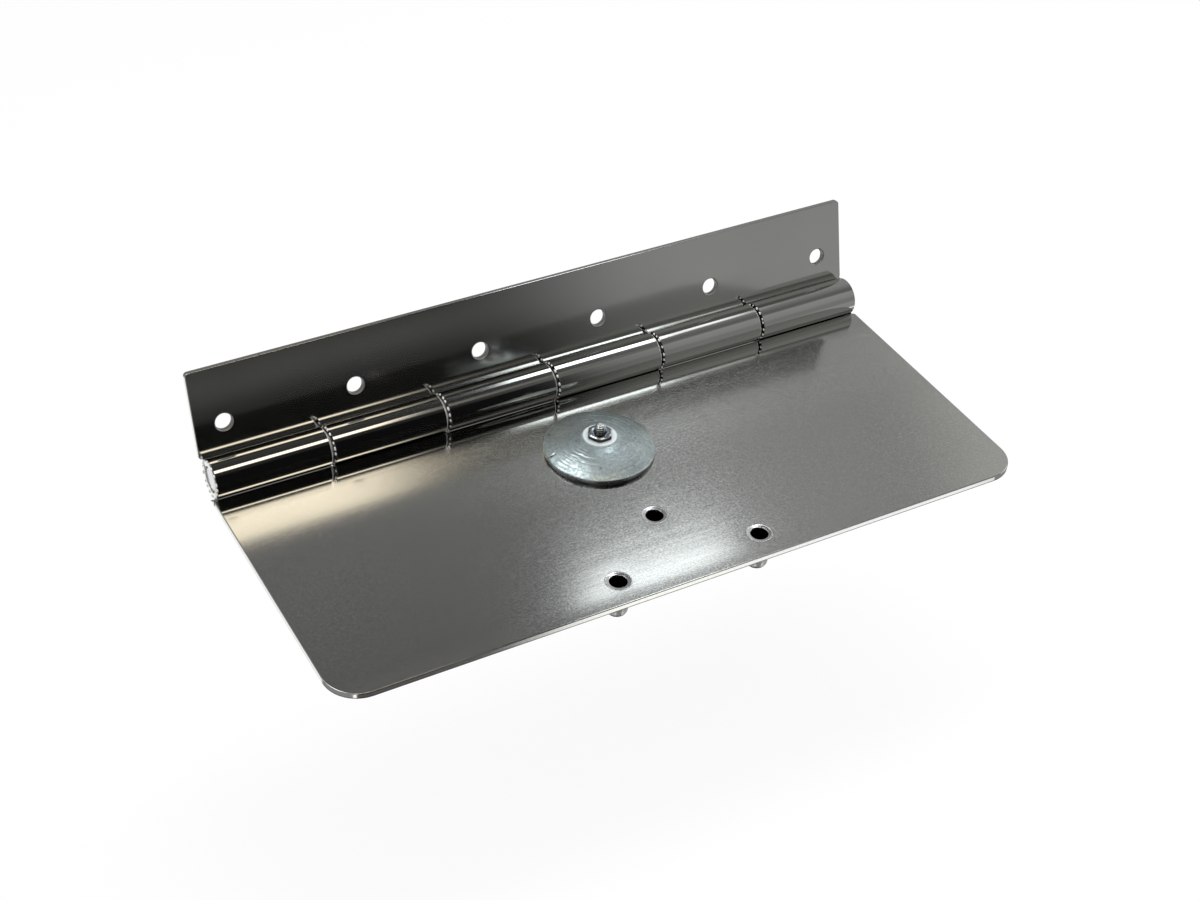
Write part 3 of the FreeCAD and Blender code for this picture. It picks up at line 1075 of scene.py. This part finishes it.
def cast_skin(radius, turn):
    """How far the casting's skin departs from the true dome, mostly inward."""
    # The numbers beside place are the noise's blobs per metre
    place = Vector((radius * math.cos(turn), radius * math.sin(turn), 0.0))
    sag = 0.10 * MM * (noise.noise(place * 90.0) - 0.4) + 0.035 * MM * noise.noise(place * 380.0)
    to_starboard = 0.25 + 0.75 * max(0.0, math.cos(turn - 0.3)) ** 0.5
    rings = to_starboard * sum(math.exp(-((radius - ring) / ring_width) ** 2) for ring in ring_radii)
    # Ripples of the flowing metal, bent by slow noise and fading in and out over the face
    warped = radius + 1.6 * MM * noise.noise(place * 150.0)
    ripple = 0.5 + 0.5 * math.sin(warped * 4200.0)
    flow = ripple * max(0.0, noise.noise(place * 110.0 + Vector((3, 5, 7))))
    wander = 0.02 * math.sin(radius * 900.0)
    from_lap = math.remainder(turn - lap_turn - wander, 2 * math.pi) * radius
    lap = math.exp(-(from_lap / lap_width) ** 2) * share_between(radius, 19.2 * MM, 20.4 * MM)
    return sag - ring_depth * rings - flow_depth * flow - lap_depth * lap


def anode_skin(radius, height, turn):
    """The cast skin fades out at the land, the rim's side and the underside."""
    on_dome = share_between(radius, 7.4 * MM, 9.0 * MM) * share_between(height, 1.6 * MM, 2.3 * MM)
    return radius, height + cast_skin(radius, turn) * on_dome


bore_seam = 0.2 * MM
anode_profile = [(anode_bore, bore_seam), (anode_bore, anode_top - bore_flare)]
anode_profile += [(anode_bore + bore_flare, anode_top)]
anode_profile += run((anode_bore + bore_flare, anode_top), (land_radius, anode_top), 4)
for i in range(1, dome_steps + 1):
    radius = land_radius + (dome_edge - land_radius) * i / dome_steps
    anode_profile.append((radius, dome_height(radius)))
anode_profile += arc((dome_edge, anode_rim - rim_round), rim_round, 80, 0, 5)
anode_profile += run((anode_radius, anode_rim - rim_round), (anode_radius, foot_round), 4)
anode_profile += arc((anode_radius - foot_round, foot_round), foot_round, 0, -90, 5)
anode_profile += [(anode_bore, 0.0), (anode_bore, bore_seam)]
anode_piece = turned("anode_casting", anode_profile, 480, cast_zinc, anode_skin)
to_tab(anode_piece, *anode_centre)
finish_piece(anode_piece, "tab_side", "anode_zinc", "anode")

# %% [markdown]
# ## The anode's screw
#
# A machine screw comes up from below and ends a few turns above the nut. Its thread is rolled, which
# leaves rounded crests. Blender's screw modifier could wind one up, but a spiral wave on the radius
# of the swept shank gives the same in one closed piece. The pan head under the tab has a cross
# recess, cut as two crossed slots with sloping ends.

# %% Screw
shank = 4.83 / 2 * MM
thread_pitch = 1.06 * MM
thread_depth = 0.55 * MM
washer_top = 7.7 * MM
nut_top = washer_top + 1.9 * MM
screw_top = washer_top + 5.4 * MM
tip_flat = 0.06 * MM
head_radius = 4.8 * MM
head_height = 2.7 * MM
head_round = 1.4 * MM
head_low = -sheet - head_height
recess_radius = 2.6 * MM
recess_floor = 2.1 * MM
recess_depth = 1.5 * MM
slot_half = 0.50 * MM
slot_slope = 0.25 * MM


def spiral_wave(height, turn, pitch):
    """From 0 to 1 and back, once for each pitch of a spiral."""
    return 0.5 + 0.5 * math.cos(2 * math.pi * (height / pitch - turn / (2 * math.pi)))


def threaded_shank(radius, height, turn):
    """Spiral thread above the sheet and a cross recess in the head."""
    if 0.9 * shank < radius < 1.1 * shank and -0.5 * sheet < height < screw_top - 0.05 * MM:
        free = share_between(height, nut_top, nut_top + 0.3 * MM)
        crest = min(radius * (1.0 - 0.10 * free), shank * 0.78 + screw_top - height)
        return crest - thread_depth * (1 - spiral_wave(height, turn, thread_pitch) ** 0.8), height
    if height < -sheet - 1.6 * MM and radius < recess_radius:
        from_slot = min(abs(radius * math.cos(turn)), abs(radius * math.sin(turn)))
        in_slot = share_between(from_slot, slot_half + slot_slope, slot_half)
        in_recess = in_slot * share_between(radius, recess_radius, recess_floor)
        return radius, height + recess_depth * in_recess
    return radius, height


head_flat = head_radius - head_round
screw_profile = [(on_axis, head_low)] + run((0.0, head_low), (head_flat, head_low), 26)
screw_profile += arc((head_flat, head_low + head_round), head_round, -90, 0, 8)
screw_profile += [(head_radius, -sheet), (shank, -sheet)]
screw_profile += run((shank, -sheet), (shank, washer_top), 6)
screw_profile += run((shank, washer_top), (shank, screw_top - tip_flat), 80)
screw_profile += [(0.80 * shank, screw_top), (0.4 * shank, screw_top), (on_axis, screw_top)]
screw_piece = turned("anode_screw_cut", screw_profile, 64, screw_shade_and_highlight_steel, threaded_shank)
to_tab(screw_piece, *anode_centre)
# The valleys of the free thread get their own shaded steel
screw_piece.data.materials.append(thread_shade)
screw_foot = on_tab(*anode_centre)
for face in screw_piece.data.polygons:
    spot = face.center - screw_foot
    rise = spot.dot(tab_up)
    if nut_top < rise < screw_top - 0.5 * MM and (spot - rise * tab_up).length < 0.80 * shank:
        face.material_index = 1
finish_piece(screw_piece, "tab_side", "fastener_steel", "anode_screw")

# %% [markdown]
# ## The threaded inserts
#
# A blind insert is a steel cup with a flange. Pulled by a mandrel, its thin wall folds out under the
# sheet and grips it, while the flange stays flush above. From the top we see the flange's shallow
# dish, the smooth bore of the folded wall, and only far down the thread. A cross-section turned
# round the axis gives all of it, and the same spiral wave cuts the thread.

# %% Inserts
insert_depth = 16.2 * MM
insert_wall = 4.5 * MM
insert_end_round = 2.8 * MM
bulge_height = -4.0 * MM
bulge_round = 1.2 * MM
flange_radius = 5.2 * MM
dish_outer = 4.8 * MM
dish_inner = 3.82 * MM
dish_depth = 0.22 * MM
mouth_round = 0.16 * MM
bore_radius = 3.62 * MM
bore_end = -7.2 * MM
thread_minor = 2.5 * MM
insert_pitch = 1.0 * MM
thread_cut = 0.5 * MM
thread_start = -7.4 * MM
thread_end = -14.0 * MM


def threaded_bore(radius, height, turn):
    """Spiral thread in the lower part of the bore."""
    on_thread = 0.9 * thread_minor < radius < thread_minor + 0.6 * MM
    if on_thread and thread_end < height < thread_start:
        return thread_minor + thread_cut * spiral_wave(height, turn, insert_pitch), height
    return radius, height


insert_profile = [(on_axis, -insert_depth)]
insert_profile += arc((1.7 * MM, -insert_depth + insert_end_round), insert_end_round, -90, 0, 8)
insert_profile += [(insert_wall, bulge_height - bulge_round)]
insert_profile += arc((insert_wall, bulge_height), bulge_round, -80, 80, 8)
insert_profile += [(insert_wall, -sheet - 0.02 * MM), (insert_wall, -0.8 * MM)]
# The flange: its bevelled seat in the sheet, its flush edge, the dish and the rounded mouth
insert_profile += [(flange_radius + 0.06 * MM, -0.04 * MM), (flange_radius, 0.0)]
insert_profile += [(flange_radius - 0.1 * MM, -0.005 * MM), (dish_outer + 0.05 * MM, -0.02 * MM)]
insert_profile += run((dish_outer, -0.03 * MM), (dish_inner, -dish_depth), 8)
insert_profile += arc((bore_radius + mouth_round, -dish_depth - mouth_round), mouth_round, 100, 180, 8)
insert_profile += run((bore_radius, -0.60 * MM), (bore_radius, bore_end), 6)
insert_profile += [(thread_minor + 0.55 * MM, bore_end - 0.15 * MM)]
insert_profile += run((thread_minor, thread_start), (thread_minor, thread_end), 66)
insert_profile += [(on_axis, thread_end - 0.9 * MM)]
for name, middle in insert_places.items():
    centre = tab_frame.inverted() @ middle
    piece = turned(f"insert_{name}_turned", insert_profile, 72, insert_steel, threaded_bore)
    piece.data.materials.append(insert_outside)
    for face in piece.data.polygons:
        outer = face.center.z < -2.0 * MM and math.hypot(face.center.x, face.center.y) > 4.2 * MM
        if outer or face.center.z < thread_end - 1.2 * MM:
            face.material_index = 1
    to_tab(piece, centre.x, -centre.y)
    finish_piece(piece, "tab_side", "insert_steel", f"insert_{name}")

# %% [markdown]
# ## Lumps on the knuckles' rims
#
# Each eye of the hinge was cut with a nibbling tool, and its port side keeps a row of small bright
# lumps, about three millimetres apart, that catch the lamp like a string of beads. Their steel is
# painted near white and half matt, a painted highlight. Each bead is a flattened ball set in the
# chamfer. An array modifier would make them all alike, so a loop places them, and a fixed seed keeps
# them uneven in the same way on every run.

# %% Beads
bead_pitch = 2.9 * MM
bead_half = Vector((0.72, 0.56, 0.95)) * MM
bead_ring = barrel_radius - bead_half.y
bead_inset = 0.24 * MM
ball_points, ball_faces = unit_sphere(10, 8)
draw = np.random.default_rng(7)


def bead_row(name, knuckles, body):
    """One mesh with the beads of every knuckle that moves with this body."""
    vertices, faces = [], []
    count = round(2 * math.pi * bead_ring / bead_pitch)
    for knuckle in knuckles:
        x = max(-half_span + knuckle * knuckle_pitch + knuckle_gap / 2, -half_span + barrel_recess)
        for i in range(count):
            turn = 2 * math.pi * (i + 0.25 * draw.uniform(-1, 1)) / count
            size = bead_half * draw.uniform(0.7, 1.0)
            outward = Vector((0.0, math.cos(turn), math.sin(turn)))
            around = Vector((0.0, -math.sin(turn), math.cos(turn)))
            middle = hinge + outward * bead_ring + Vector((x + bead_inset, 0.0, 0.0))
            first = len(vertices)
            for a, b, c in ball_points:
                across = Vector((a * size.x, 0.0, 0.0))
                vertices.append(tuple(middle + across + outward * (b * size.y) + around * (c * size.z)))
            faces += [tuple(first + k for k in face) for face in ball_faces]
    return finish_piece(new_piece(name, vertices, faces, bead_glint_steel), body, "leaf_steel")


bead_row("beads_transom", (0, 2, 4), "transom_side")
bead_row("beads_tab", (1, 3, 5), "tab_side")

# %% [markdown]
# ## The slots' bevelled edges
#
# Each leaf is cut away where the other's knuckles stand. Its edge there is bevelled to the barrel's
# round and follows it closely, so no light passes. The CAD solids keep the plain square edge. A
# boolean cut with the barrel could hollow them, but a thin strip with a hollow face leaves the
# solids as they are and finishes each slot just as well.

# %% Slot edges
lip_clearance = 0.36 * MM
lip_side = knuckle_gap / 2 + 0.3 * MM
lip_steps = 12
leaf_clearance = 0.4 * MM
square_edge = math.sqrt((barrel_radius + leaf_clearance) ** 2 - eye_radius ** 2)
into_leaf = 0.05 * MM
front_inset = 0.06 * MM
back_inset = 0.04 * MM


def on_transom(x, away, depth):
    """A place on the upright leaf: away from the hinge's level, and depth in from its front face."""
    return Vector((x, depth - sheet, hinge.z + away))


def in_tab(x, away, depth):
    """The same for the tab: away from the hinge line, and depth below its top face."""
    return on_tab(x, away, -depth)


def lip_section():
    """Outline of a strip: depth from the leaf's front face, and distance from the hinge's level."""
    hollow = barrel_radius + lip_clearance
    start = math.acos((eye_radius + front_inset) / hollow)
    stop = math.acos((barrel_radius - back_inset) / hollow)
    points = [(front_inset, square_edge + into_leaf)]
    for i in range(lip_steps + 1):
        angle = start + (stop - start) * i / lip_steps
        points.append((hollow * math.cos(angle) - eye_radius, hollow * math.sin(angle)))
    return points + [(sheet - back_inset, square_edge + into_leaf)]


def slot_edges(name, knuckles, place, material, body):
    """Strips whose hollow face follows the barrel, from the square edge down towards the leaf's back."""
    vertices, faces = [], []
    section = lip_section()
    corners = len(section)
    for knuckle in knuckles:
        left = max(-half_span + knuckle * knuckle_pitch + lip_side - knuckle_gap, -half_span)
        right = min(-half_span + (knuckle + 1) * knuckle_pitch - lip_side + knuckle_gap, half_span)
        first = len(vertices)
        for x in (left, right):
            vertices += [tuple(place(x, away, depth)) for depth, away in section]
        far = first + corners
        for i in range(corners):
            k = (i + 1) % corners
            faces.append((first + i, first + k, far + k, far + i))
        faces += [tuple(range(first, far)), tuple(reversed(range(far, far + corners)))]
    return finish_piece(new_piece(name, vertices, faces, material, rounded=False), body, "leaf_steel")


slot_edges("slot_edges_transom", (1, 3, 5), on_transom, transom_steel, "transom_side")
slot_edges("slot_edges_tab", (0, 2, 4), in_tab, tab_steel, "tab_side")

# %% [markdown]
# ## The solids' finishes
#
# The leaves, the pin, the washer and the nut are shown as the CAD model made them, so they only need
# their metal. The replaced solids get one too, in case they are shown alone.

# %% Dress the solids
finishes = {
    "transom_leaf": transom_steel,
    "trim_plane": tab_steel,
    "hinge_pin": pin_steel,
    "anode": cast_zinc,
    "anode_washer": washer_steel,
    "anode_nut": nut_shade_and_highlight_steel,
    "anode_screw": screw_shade_and_highlight_steel,
    "insert_forward": insert_steel,
    "insert_port": insert_steel,
    "insert_starboard": insert_steel,
}
for name, material in finishes.items():
    nodes[name].data.materials.clear()
    nodes[name].data.materials.append(material)
print("dressed", len(finishes), "solids")
